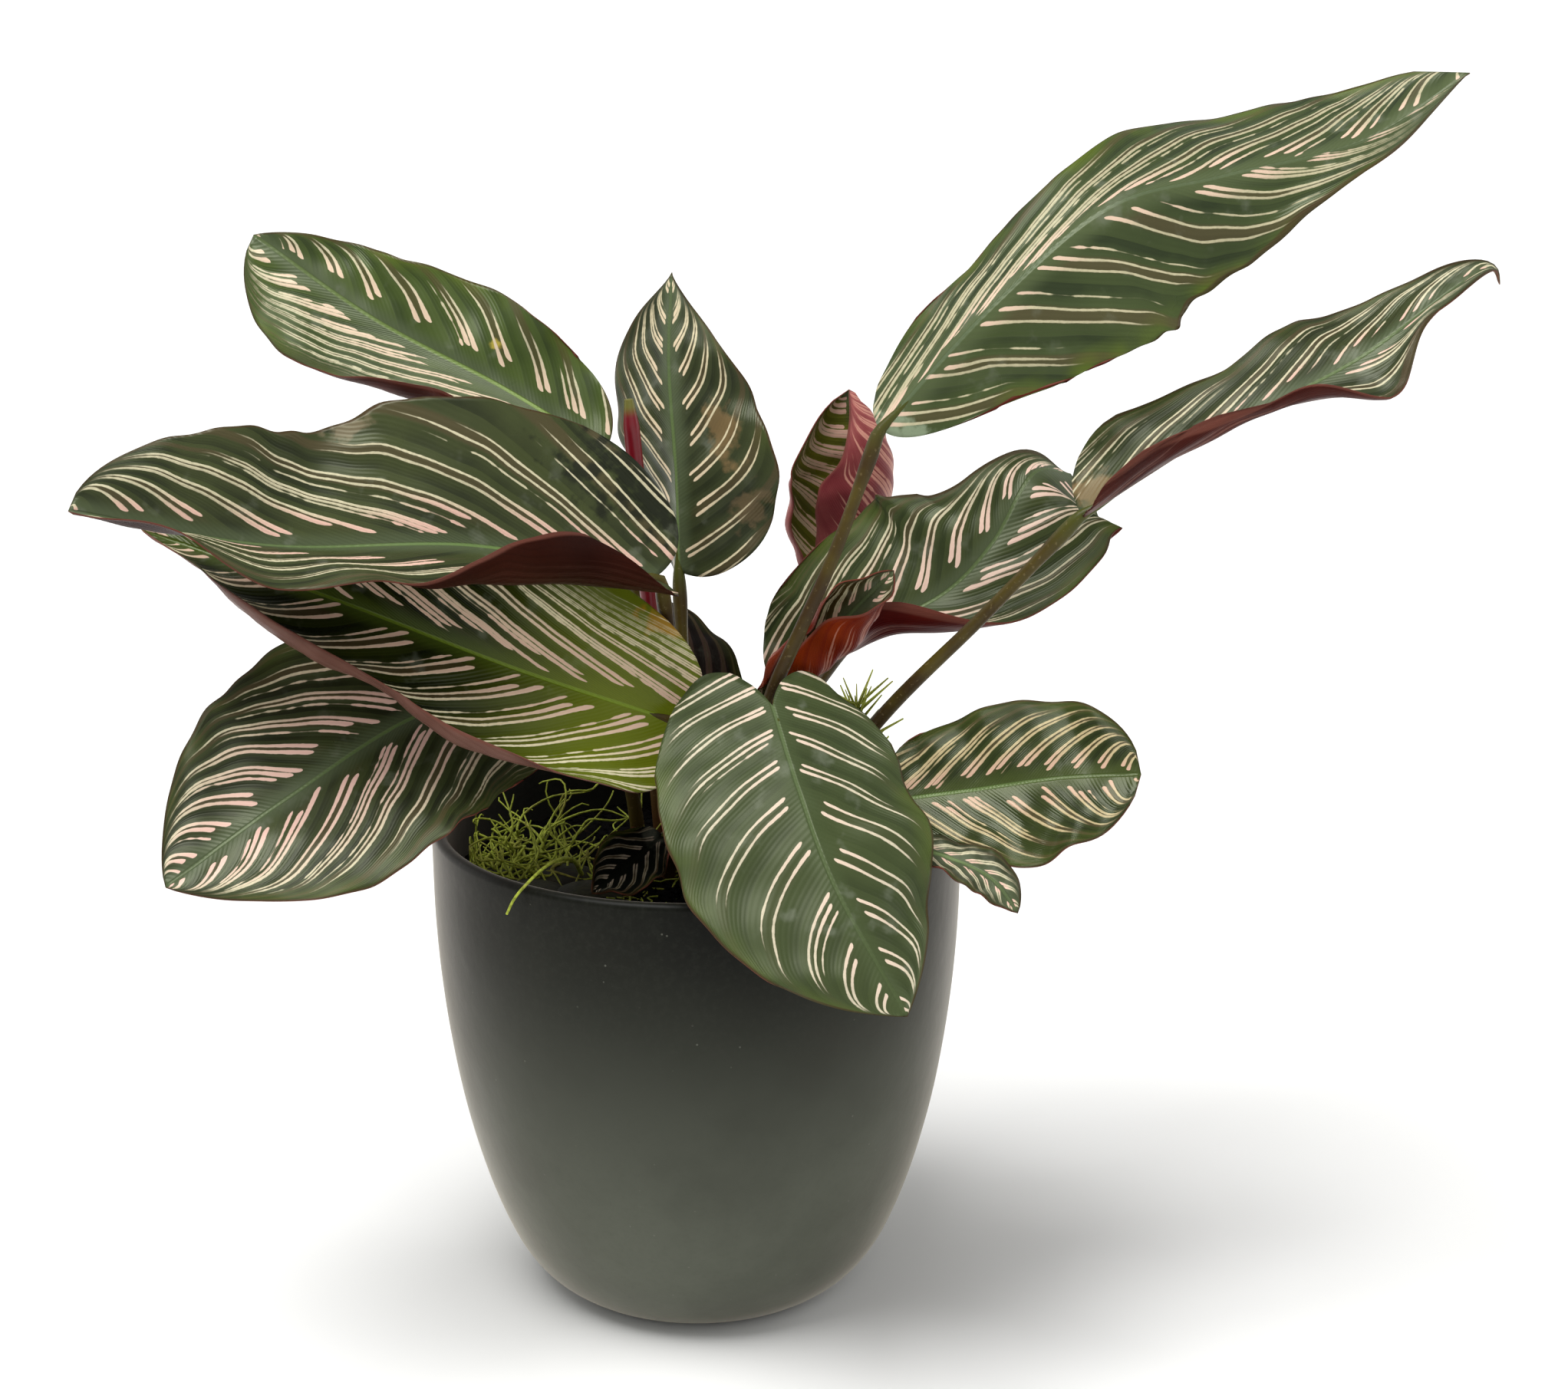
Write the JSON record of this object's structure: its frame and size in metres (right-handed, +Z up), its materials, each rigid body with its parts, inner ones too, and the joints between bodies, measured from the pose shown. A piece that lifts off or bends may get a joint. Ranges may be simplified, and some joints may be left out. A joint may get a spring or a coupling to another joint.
{
  "type": "potted calathea",
  "caption": "Potted pinstripe calathea: long pink-striped leaves, some curled to show maroon undersides, on slim arching stalks in mossy soil in a tall rounded charcoal pot.",
  "frame": {"origin": "centre of the pot's flat base, on the surface that it stands on", "axes": "+Z up; -Y towards the viewer's side, where the front leaf hangs over the rim; +X to that viewer's right, where the two highest leaves reach"},
  "size_m": [0.4993, 0.2431, 0.459],
  "materials": {
    "pot_glaze": "matte mottled charcoal glaze",
    "soil": "dark crumbly potting soil",
    "moss": "dry fibrous sheet moss",
    "leaf_blade": "satin green with pale pink stripes, maroon underneath",
    "leaf_young": "satin crimson young leaf",
    "leaf_stalk": "satin olive brown stalk"
  },
  "bodies": {
    "root": {"pot": "pot_glaze", "soil": "soil", "moss": "moss", "moss_tuft": "moss", "spear": "leaf_young", "blade_back_left": "leaf_blade", "blade_left": "leaf_blade", "blade_upright": "leaf_blade", "blade_low_left_upper": "leaf_blade", "blade_low_left": "leaf_blade", "blade_front": "leaf_blade", "blade_low_right": "leaf_blade", "blade_small_right": "leaf_blade", "blade_high_right": "leaf_blade", "blade_far_right": "leaf_blade", "blade_mid_right": "leaf_blade", "blade_back_right": "leaf_blade", "blade_front_roll": "leaf_young", "blade_low_back": "leaf_blade", "blade_inner_small": "leaf_blade", "stalk_back_left": "leaf_stalk", "stalk_left": "leaf_stalk", "stalk_upright": "leaf_stalk", "stalk_low_left_upper": "leaf_stalk", "stalk_low_left": "leaf_stalk", "stalk_front": "leaf_stalk", "stalk_low_right": "leaf_stalk", "stalk_small_right": "leaf_stalk", "stalk_high_right": "leaf_stalk", "stalk_far_right": "leaf_stalk", "stalk_mid_right": "leaf_stalk", "stalk_back_right": "leaf_stalk", "stalk_front_roll": "leaf_stalk", "stalk_low_back": "leaf_stalk", "stalk_inner_small": "leaf_stalk"}
  },
  "joints": []
}
